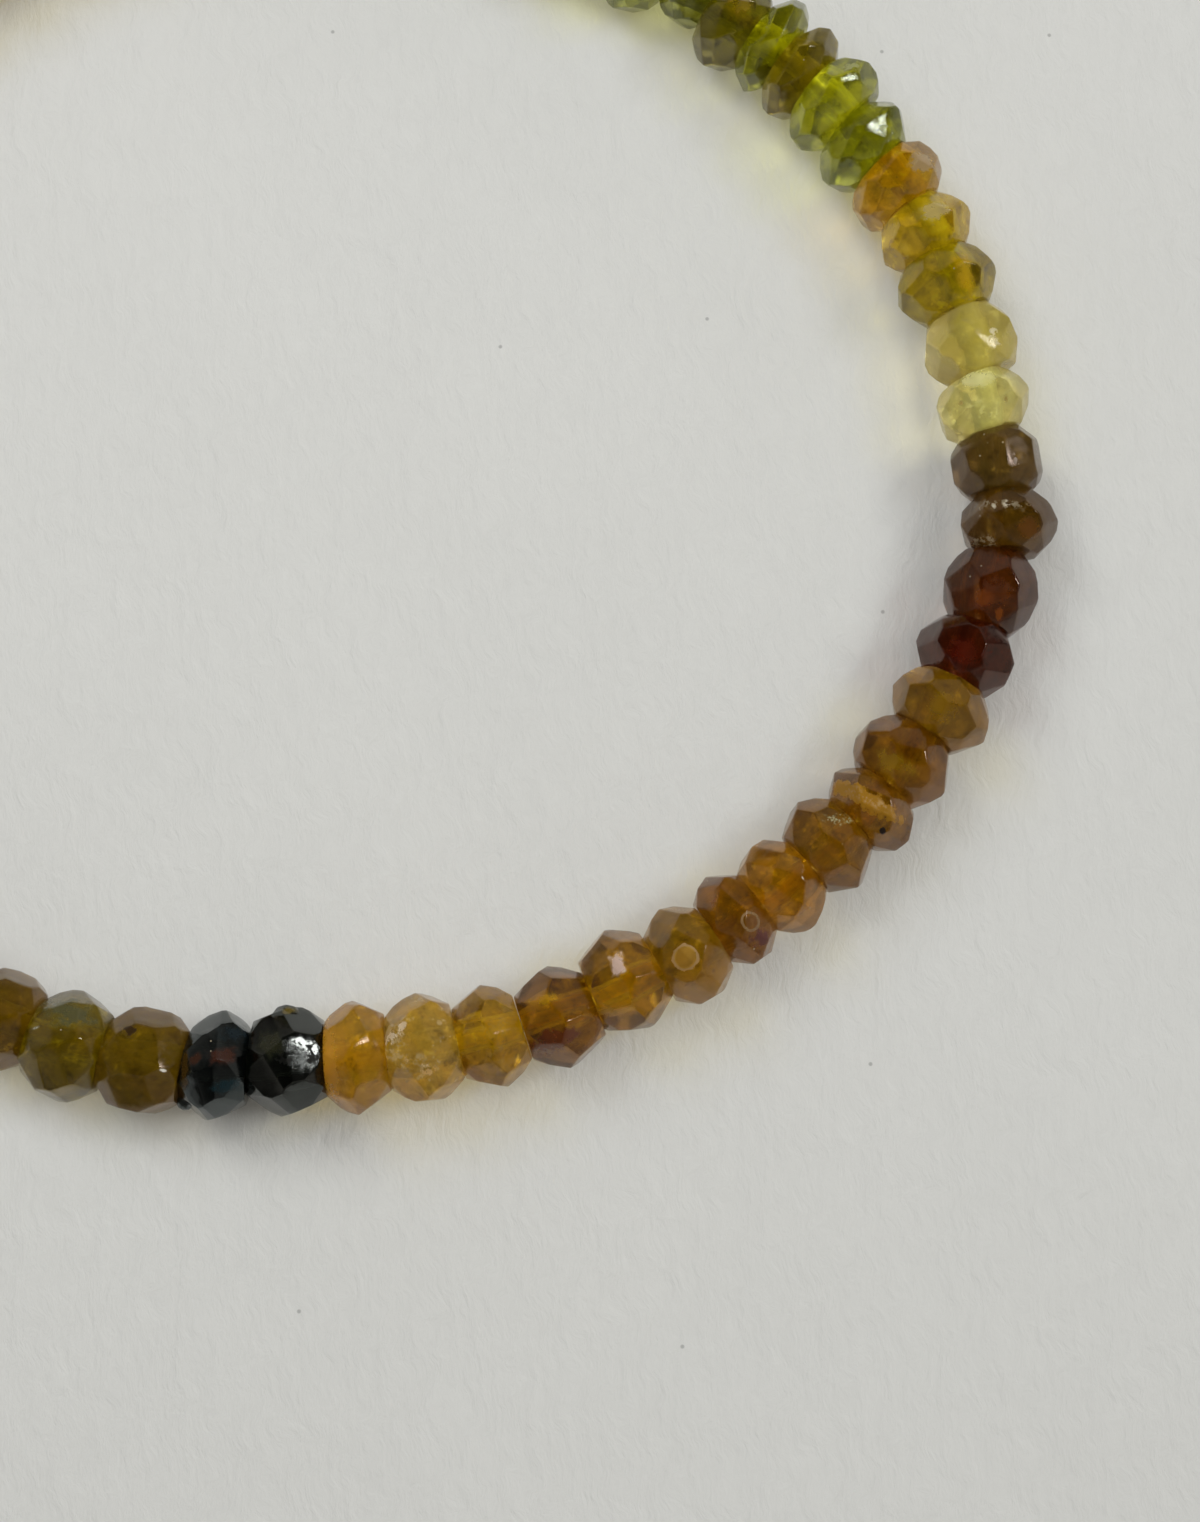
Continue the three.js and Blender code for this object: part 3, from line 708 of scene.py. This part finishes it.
# What sets single stones apart from their kind. Patches lie on a stone's upper side: at and size
# are in its own axes in millimetres, along the thread and to the loop's inside.
# soft, ragged: the patch's edge   ring: the share of its radius that is left, as a ring
# grain: the scale of the crumbs that it is broken into   milk, rough: what it adds to the stone's
STONE_LOOKS = {
    1: {"tint": (0.48, 0.31, 0.004), "shine": 0.28, "rim": 0.2},
    2: {"tint": (0.5, 0.35, 0.002), "shine": 0.25, "rim": 0.05, "patches": [
        {"at": (-0.1, 1.3), "size": (2.0, 1.0), "colour": (0.14, 0.14, 0.06), "milk": 0.3},
        {"at": (-1.3, 0.2), "size": (0.35, 0.1), "turn": 35, "colour": (0.6, 0.58, 0.45), "milk": 0.3}]},
    3: {"tint": (0.36, 0.23, 0.005), "shine": 0.28, "milk": 0.22, "rough": 0.14, "patches": [
        # a painted glint: a small near-white spot where the window's reflection shows
        {"at": (1.15, -0.6), "size": (0.2, 0.1), "colour": (0.9, 0.88, 0.8), "milk": 0.8},
        {"at": (-0.7, 1.0), "size": (0.42, 0.3), "turn": 20, "colour": (0.04, 0.022, 0.005), "milk": 0.5,
         "soft": 0.4, "ragged": 0.4}]},
    4: {"tint": (0.03, 0.045, 0.045), "shine": 0.1, "patches": [
        {"at": (0.7, -1.15), "size": (0.9, 0.45), "turn": 15, "colour": (0.006, 0.03, 0.04),
         "milk": 0.4},
        {"at": (0.9, 1.3), "size": (0.9, 0.6), "colour": (0.01, 0.022, 0.03), "milk": 0.4},
        {"at": (0.45, 0.2), "size": (0.85, 0.5), "turn": 12, "colour": (0.1, 0.03, 0.015), "milk": 0.35,
         "soft": 0.7, "ragged": 0.2, "square": True},
        {"at": (-0.75, 0.1), "size": (0.5, 0.35), "turn": 40, "colour": (0.1, 0.03, 0.01), "milk": 0.3},
        {"at": (-1.3, -0.4), "size": (0.3, 1.4), "colour": (0.12, 0.06, 0.01), "milk": 0.35}]},
    5: {"tint": (0.035, 0.05, 0.035), "shine": 0.3, "sheen": (0.95, 1.0, 0.95), "patches": [
        {"at": (0.6, 0.28), "size": (1.0, 0.7), "colour": (0.035, 0.04, 0.03), "milk": 0.0, "rough": 0.6,
         "grain": 2.4, "soft": 0.2},
        {"at": (0.1, 2.4), "size": (0.5, 0.3), "colour": (0.16, 0.11, 0.01), "milk": 0.6},
        {"at": (-0.6, 0.8), "size": (0.9, 0.9), "colour": (0.07, 0.07, 0.03), "milk": 0.2}]},
    6: {"tint": (0.84, 0.49, 0.01), "milk": 0.22, "rim": 0.1, "rough": 0.12, "specks": 0.3,
        "speck_colour": (0.08, 0.03, 0.01), "patches": [
        {"at": (-1.0, 0.0), "size": (0.5, 2.6), "colour": (0.85, 0.45, 0.05), "milk": 0.15}]},
    7: {"tint": (0.84, 0.58, 0.09), "milk": 0.2, "veils": 0.6, "veil_colour": (0.72, 0.58, 0.34),
        "patches": [
        {"at": (-0.84, 0.75), "size": (1.0, 0.35), "turn": 35, "colour": (0.8, 0.66, 0.48), "milk": 0.3,
         "soft": 0.6, "ragged": 0.35, "grain": 2.4},
        {"at": (0.1, -0.9), "size": (0.95, 0.4), "turn": -35, "colour": (0.75, 0.5, 0.2), "milk": 0.3,
         "soft": 0.6, "ragged": 0.4, "grain": 2.2}]},
    8: {"tint": (0.86, 0.54, 0.004), "channel": 0.9, "milk": 0.06, "veils": 0.25,
        "veil_colour": (0.7, 0.5, 0.25)},
    9: {"tint": (0.7, 0.36, 0.002), "channel": 1.0, "milk": 0.03, "rim": 0.06, "patches": [
        {"at": (-0.5, -1.25), "size": (1.5, 0.75), "colour": (0.14, 0.03, 0.008), "milk": 0.2,
         "soft": 0.5},
        {"at": (-0.2, 0.65), "size": (1.0, 0.4), "turn": -8, "colour": (1.0, 0.6, 0.003), "milk": 0.1}]},
    10: {"tint": (0.74, 0.42, 0.002), "channel": 1.0, "milk": 0.03, "rim": 0.06, "patches": [
        # a painted glint: a pinkish-white patch for a facet's reflection of the lamp
        {"at": (-0.2, 0.88), "size": (0.42, 0.6), "turn": -10, "colour": (0.8, 0.6, 0.52), "milk": 0.55,
         "rough": 0.2, "soft": 0.5, "ragged": 0.2, "square": True}]},
    11: {"tint": (0.5, 0.285, 0.007), "milk": 0.22, "rim": 0.25, "rough": 0.14, "patches": [
        {"at": (-0.32, -0.26), "size": (0.66, 0.66), "colour": (0.62, 0.42, 0.2), "milk": 0.18,
         "soft": 0.12, "ragged": 0.08, "ring": 0.22},
        {"at": (-0.32, -0.26), "size": (0.56, 0.56), "colour": (0.62, 0.37, 0.05), "milk": 0.05,
         "soft": 0.2, "ragged": 0.04}]},
    12: {"tint": (0.57, 0.26, 0.002), "milk": 0.12, "rim": 0.2, "patches": [
        {"at": (0.48, -0.38), "size": (0.5, 0.5), "colour": (0.42, 0.29, 0.14), "milk": 0.22,
         "soft": 0.1, "ragged": 0.04, "ring": 0.25},
        {"at": (0.5, -1.2), "size": (0.75, 0.6), "colour": (0.12, 0.035, 0.035), "milk": 0.4},
        {"at": (-0.44, 1.33), "size": (0.5, 0.45), "colour": (0.25, 0.08, 0.005), "milk": 0.35,
         "grain": 3.0}]},
    13: {"tint": (0.84, 0.43, 0.002), "sheen": (0.95, 0.9, 0.75), "milk": 0.06, "rim": 0.15},
    14: {"tint": (0.66, 0.34, 0.005), "milk": 0.12, "patches": [
        {"at": (0.9, 0.65), "size": (0.85, 0.4), "turn": -40, "colour": (0.45, 0.45, 0.26), "milk": 0.5,
         "soft": 0.5, "grain": 4.5}]},
    15: {"tint": (0.6, 0.3, 0.003), "patches": [
        {"at": (-0.1, 0.1), "size": (0.5, 2.4), "turn": 8, "colour": (0.5, 0.25, 0.01), "milk": 0.42,
         "rough": 0.35, "soft": 0.35, "ragged": 0.3},
        # a painted highlight: a paler grainy streak along the golden rind
        {"at": (-0.1, 0.3), "size": (0.35, 1.9), "turn": 8, "colour": (0.6, 0.38, 0.15), "milk": 0.15,
         "grain": 3.5},
        {"at": (-0.73, -1.23), "size": (0.17, 0.17), "colour": (0.012, 0.008, 0.005), "milk": 1.0,
         "soft": 0.3}]},
    16: {"tint": (0.5, 0.24, 0.002), "patches": [
        {"at": (-0.8, 0.2), "size": (0.7, 1.3), "colour": (0.62, 0.4, 0.002), "milk": 0.05}]},
    17: {"tint": (0.4, 0.22, 0.003), "milk": 0.22, "rim": 0.25, "rough": 0.12, "patches": [
        {"at": (-0.3, -0.2), "size": (0.9, 1.0), "colour": (0.55, 0.34, 0.002), "milk": -0.2}]},
    18: {"tint": (0.23, 0.045, 0.004), "patches": [
        {"at": (-0.6, -0.1), "size": (0.8, 1.0), "colour": (0.42, 0.05, 0.004), "milk": 0.0}]},
    19: {"tint": (0.31, 0.105, 0.002), "patches": [
        {"at": (-0.6, -0.5), "size": (1.1, 1.3), "colour": (0.42, 0.13, 0.002), "milk": 0.0},
        {"at": (-1.4, -1.0), "size": (0.4, 0.25), "colour": (0.8, 0.22, 0.004), "milk": 0.05},
        {"at": (-0.91, -0.13), "size": (0.5, 0.5), "colour": (0.7, 0.2, 0.004), "milk": 0.03}]},
    20: {"tint": (0.31, 0.16, 0.006), "milk": 0.14, "patches": [
        {"at": (0.6, -0.45), "size": (0.3, 0.25), "colour": (0.6, 0.55, 0.42), "milk": 0.7,
         "grain": 3.5},
        {"at": (0.45, 0.15), "size": (0.2, 0.13), "turn": 30, "colour": (0.6, 0.55, 0.42), "milk": 0.6},
        {"at": (0.5, -0.3), "size": (0.4, 1.6), "colour": (0.4, 0.34, 0.22), "milk": 0.4, "grain": 3.0},
        {"at": (-1.2, 0.35), "size": (0.5, 0.7), "colour": (0.5, 0.4, 0.25), "milk": 0.4, "grain": 4.5},
        {"at": (-0.5, -1.6), "size": (0.6, 0.7), "colour": (0.4, 0.14, 0.003), "milk": 0.0}]},
    21: {"tint": (0.3, 0.18, 0.025), "shine": 0.32, "milk": 0.24, "patches": [
        # partly a painted glint: a pale streaky patch, with a rougher grainy polish over the polished
        # facet
        {"at": (-0.26, -0.95), "size": (0.36, 0.24), "turn": 20, "colour": (0.5, 0.42, 0.36),
         "milk": 0.3, "rough": 0.4, "grain": 3.0, "ragged": 0.35}]},
    22: {"tint": (0.92, 0.88, 0.34), "dim": 0.72, "milk": 0.22, "patches": [
        {"at": (0.9, 0.5), "size": (0.6, 1.0), "colour": (1.0, 0.98, 0.5), "milk": 0.2},
        {"at": (-0.22, -0.75), "size": (0.2, 0.15), "colour": (0.4, 0.3, 0.08), "milk": 0.3},
        {"at": (-0.12, 1.42), "size": (0.18, 0.13), "colour": (0.5, 0.38, 0.12), "milk": 0.3}]},
    23: {"tint": (0.7, 0.62, 0.16), "milk": 0.25, "rim": 0.25, "patches": [
        # partly a painted glint: a near-white grainy patch, with a rougher polish over the polished
        # facet
        {"at": (-0.25, -0.76), "size": (0.48, 0.4), "colour": (0.95, 0.88, 0.6), "milk": 0.2,
         "rough": 0.4, "soft": 0.3, "grain": 2.6}]},
    24: {"tint": (0.95, 0.74, 0.001), "channel": 0.8, "milk": 0.03, "rim": 0.25,
         "rim_sheen_colour": (0.1, 0.09, 0.015), "patches": [
        {"at": (-0.2, -0.1), "size": (1.2, 0.6), "colour": (0.98, 0.62, 0.002), "milk": 0.0}]},
    25: {"tint": (1.0, 0.82, 0.02), "milk": 0.1, "rim": 0.35, "patches": [
        {"at": (0.01, 0.11), "size": (0.6, 0.8), "colour": (0.6, 0.5, 0.22), "milk": 0.35,
         "soft": 0.4}]},
    26: {"tint": (0.95, 0.6, 0.002), "sheen": (0.95, 0.9, 0.78), "milk": 0.08, "rim": 0.15,
         "specks": 0.3, "speck_colour": (0.1, 0.04, 0.005), "patches": [
        {"at": (-0.06, -0.68), "size": (0.6, 0.8), "colour": (0.5, 0.37, 0.2), "milk": 0.35,
         "soft": 0.4}]},
    27: {"tint": (0.66, 0.66, 0.003), "milk": 0.06, "patches": [
        # partly a painted glint: a pale grainy patch, with a rougher polish over the polished facet
        {"at": (-0.42, 0.04), "size": (0.5, 0.42), "turn": 20, "colour": (0.7, 0.74, 0.5),
         "milk": 0.25, "rough": 0.3, "soft": 0.35, "grain": 2.2}]},
    28: {"tint": (0.98, 0.95, 0.015), "channel": 1.0, "rim": 0.05, "milk": 0.04, "patches": [
        # partly a painted reflection: a pale grainy patch, with a rougher polish over the polished facet
        {"at": (0.4, -0.9), "size": (0.55, 0.45), "colour": (0.8, 0.8, 0.4), "milk": 0.2, "rough": 0.4,
         "soft": 0.35, "grain": 2.5}]},
    29: {"tint": (0.6, 0.47, 0.003), "milk": 0.1},
    30: {"tint": (0.86, 0.82, 0.002), "milk": 0.03},
    31: {"tint": (0.38, 0.34, 0.001), "patches": [
        {"at": (-0.2, 0.0), "size": (0.8, 0.7), "colour": (0.85, 0.55, 0.003), "milk": 0.0}]},
}


# The stones with a facet that mirrors the window, and its size in square millimetres.
POLISHED = {5: 1.1, 6: 0.3, 21: 0.25, 23: 0.5, 27: 1.1, 28: 0.45}


def add_stone(number, kind, stone, node):
    name = f"stone_{number:02d}"
    place = stone_frame(stone)
    bmesh.ops.transform(stone, matrix=place.inverted(), verts=stone.verts)
    close_up(stone)
    if number in POLISHED:
        stone = polish(stone, place, POLISHED[number] * MM ** 2)
    soften_edges(stone)
    piece = object_from(name, stone)
    cut_away(piece, drill())
    refine(piece, number)
    shade(piece)
    piece.matrix_world = place
    piece.data.materials.clear()
    look = {**USUAL, **KINDS[kind], **STONE_LOOKS.get(number, {})}
    piece.data.materials.append(Stone(name, look, number).material)
    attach(piece, "root")
    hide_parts(node)


def add_stones():
    for i, kind in enumerate(STONE_KINDS):
        node = f"bead_{i + 1:02d}"
        (stone,) = stones_in(node)
        add_stone(i + 1, kind, stone, node)
    number = len(STONE_KINDS)
    for i, kind in enumerate(ROW_KINDS):
        node = f"bead_row_{i + 1}"
        for stone in stones_in(node):
            number += 1
            add_stone(number, kind, stone, node)


# ------------------------------------------------------------------ cord


CORD_SIDES = 12
CORD_STEPS = 480
CORD_LOOK = {"Base Color": (0.45, 0.4, 0.3, 1), "Transmission Weight": 0.95, "Roughness": 0.25,
             "IOR": 1.48}


def cord_ring(mesh, k):
    """The corners of the cord's section at one of its steps round the loop."""
    centre = thread_point(LOOP * k / CORD_STEPS)
    way = (thread_point(LOOP * (k + 1) / CORD_STEPS) - centre).normalized()
    side = Vector((0, 0, 1)).cross(way)
    ring = []
    for i in range(CORD_SIDES):
        angle = 2 * math.pi * i / CORD_SIDES
        out = side * math.cos(angle) + Vector((0, 0, 1)) * math.sin(angle)
        ring.append(mesh.verts.new(centre + out * CORD_DIAMETER / 2))
    return ring


def add_cord():
    mesh = bmesh.new()
    rings = [cord_ring(mesh, k) for k in range(CORD_STEPS)]
    for k in range(CORD_STEPS):
        join_rings(mesh, rings[k], rings[(k + 1) % CORD_STEPS])
    bmesh.ops.recalc_face_normals(mesh, faces=mesh.faces)
    cord = object_from("elastic_cord_loop", mesh)
    cord.data.shade_smooth()
    clear = Shader("clear_elastic")
    for name, value in CORD_LOOK.items():
        clear.surface.inputs[name].default_value = value
    cord.data.materials.append(clear.material)
    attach(cord, "root")
    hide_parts("elastic_cord")


add_camera()
add_room()
add_stage()
add_stones()
add_cord()
